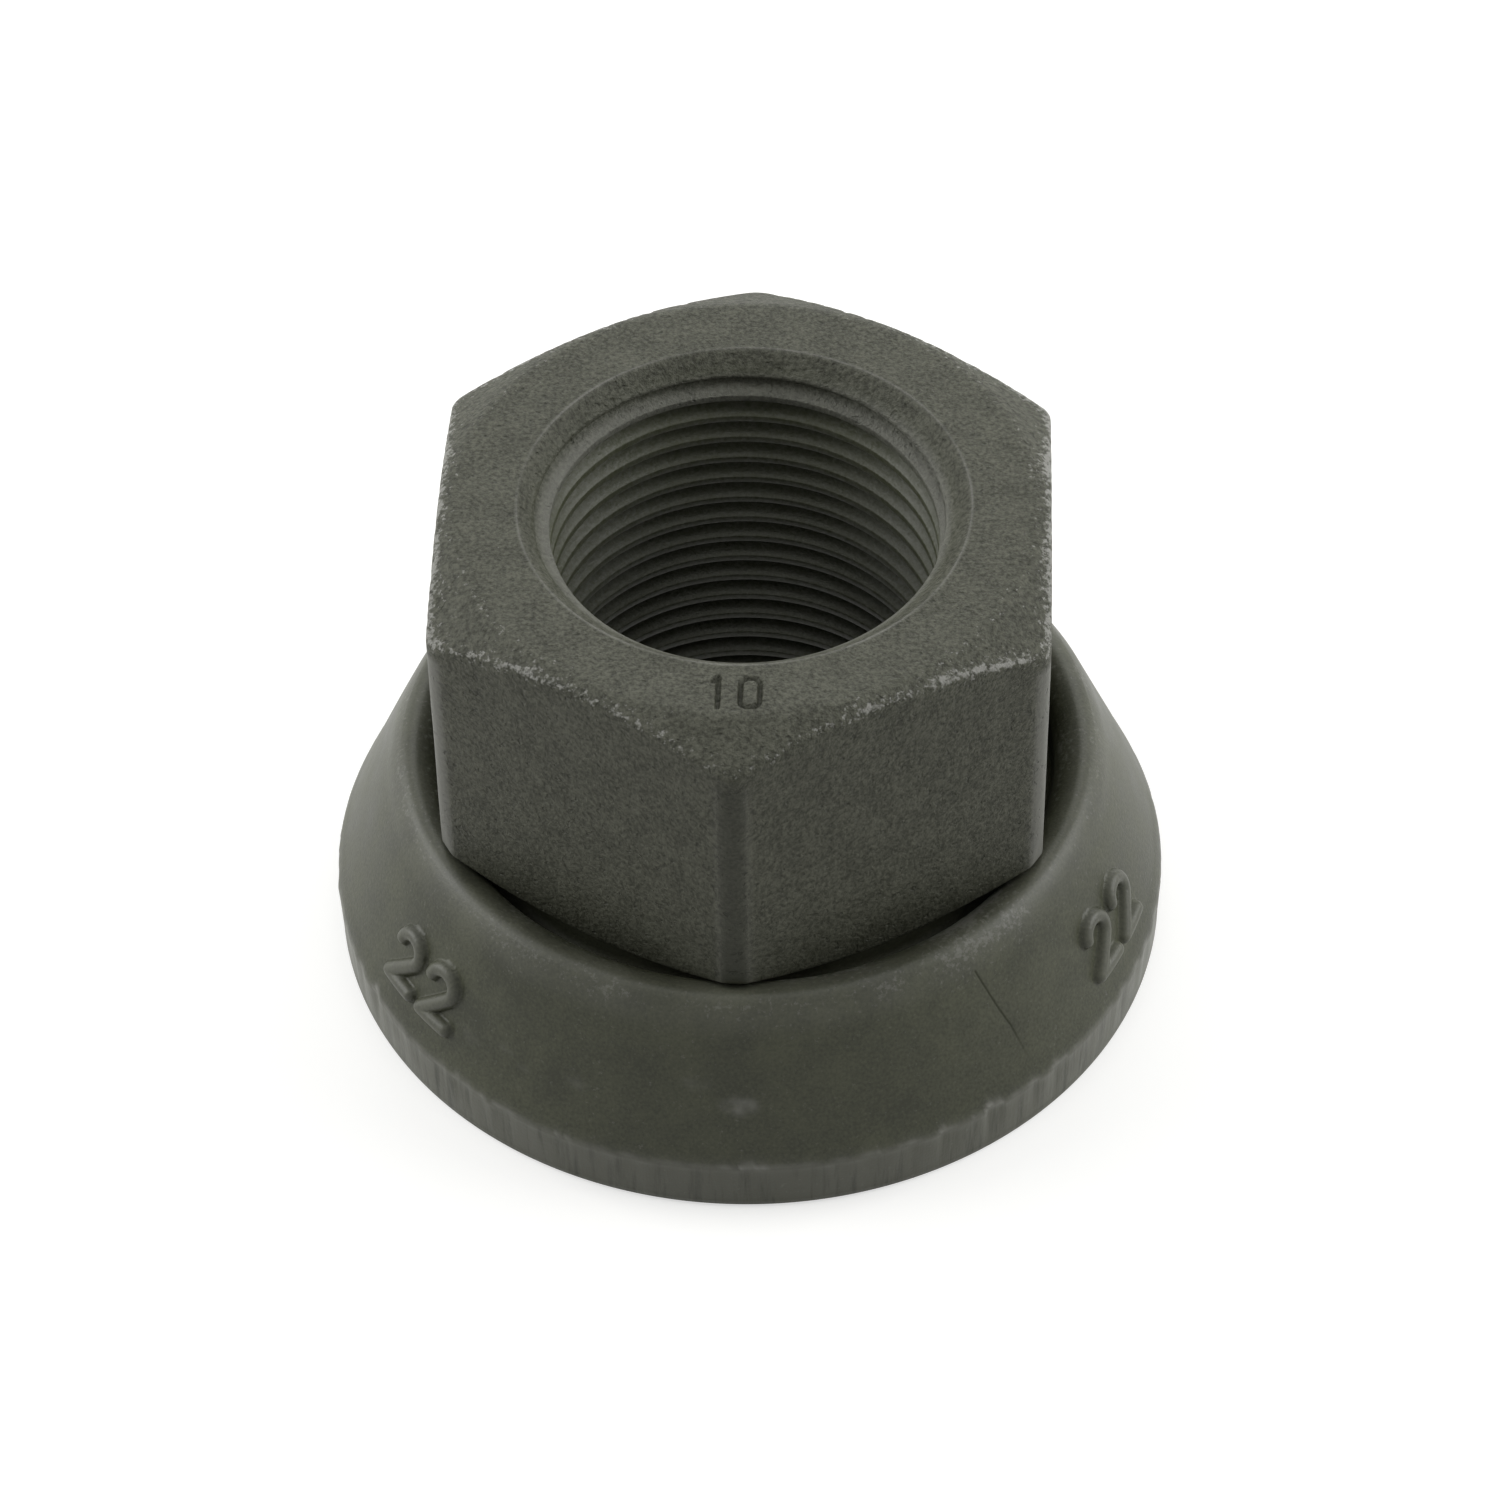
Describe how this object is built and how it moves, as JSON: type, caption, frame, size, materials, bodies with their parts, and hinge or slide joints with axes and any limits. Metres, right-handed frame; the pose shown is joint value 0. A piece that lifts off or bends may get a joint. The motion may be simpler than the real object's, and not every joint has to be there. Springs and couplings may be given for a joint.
{
  "type": "wheel lug nut with captive pressure collar",
  "caption": "Hexagonal wheel nut with a conical pressure collar held captive under it, free to turn, that clamps a wheel with its flat face.",
  "frame": {"origin": "centre of the collar's flat bearing face, on the thread axis", "axes": "+Z along the thread axis, from the bearing face to the top of the hexagon; two opposite corners of the hexagon lie on the Y axis"},
  "size_m": [0.046, 0.046, 0.03],
  "materials": {
    "blasted_steel": "forged hexagon, shot-blasted and phosphated, matt dark grey",
    "forged_steel": "forged and phosphated collar, satin dark grey"
  },
  "bodies": {
    "collar": {"pressure_collar": "forged_steel"},
    "nut": {"hex_nut": "blasted_steel"}
  },
  "joints": [
    {"name": "nut_turn", "type": "hinge", "parent": "collar", "child": "nut", "pos_m": [0, 0, 0.011], "axis": [0, 0, 1], "continuous": true}
  ]
}
